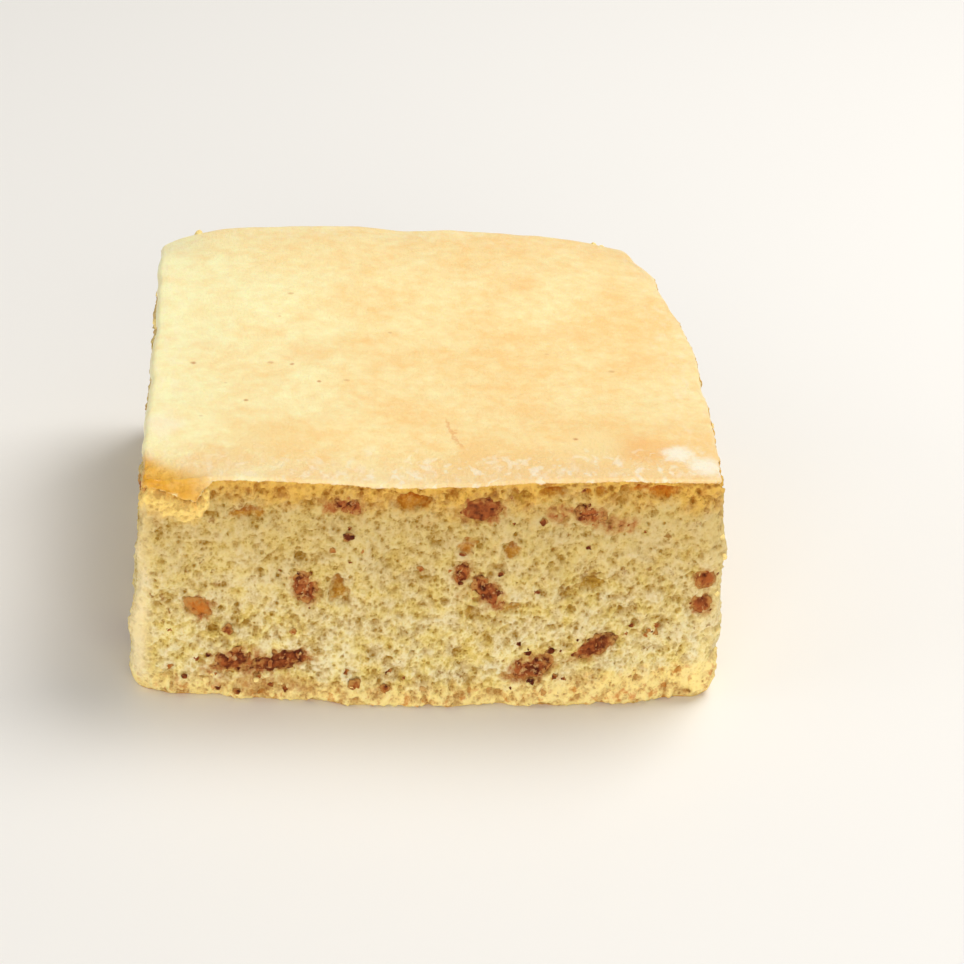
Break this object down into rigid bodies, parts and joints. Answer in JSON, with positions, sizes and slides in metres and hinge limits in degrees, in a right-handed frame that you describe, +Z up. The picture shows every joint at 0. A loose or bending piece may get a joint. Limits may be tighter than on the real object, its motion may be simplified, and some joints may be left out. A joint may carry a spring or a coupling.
{
  "type": "red date cake",
  "caption": "Square slice of yellow sponge cake with a golden baked top, porous cut sides and chopped red dates showing in the crumb.",
  "frame": {"origin": "on the base plane, under the middle of the square top", "axes": "+Z up from the base to the baked top, -Y out of the front cut face, +X to the right of that face"},
  "size_m": [0.0954, 0.0993, 0.0412],
  "materials": {
    "sponge": "soft porous yellow crumb under a thin golden baked skin",
    "date": "moist dark red-brown dried date, slightly glossy"
  },
  "bodies": {
    "root": {"sponge": "sponge", "date_front_1": "date", "date_front_2": "date", "date_front_3": "date", "date_front_4": "date", "date_front_5": "date", "date_front_6": "date", "date_front_7": "date", "date_front_8": "date", "date_front_9": "date", "date_front_10": "date", "date_front_11": "date", "date_front_12": "date", "date_front_13": "date", "date_right_1": "date", "date_right_2": "date", "date_right_3": "date", "date_right_4": "date", "date_right_5": "date", "date_right_6": "date", "date_right_7": "date", "date_right_8": "date", "date_back_1": "date", "date_back_2": "date", "date_back_3": "date", "date_back_4": "date", "date_back_5": "date", "date_back_6": "date", "date_back_7": "date", "date_back_8": "date", "date_left_1": "date", "date_left_2": "date", "date_left_3": "date", "date_left_4": "date", "date_left_5": "date", "date_left_6": "date", "date_left_7": "date", "date_left_8": "date"}
  },
  "joints": []
}
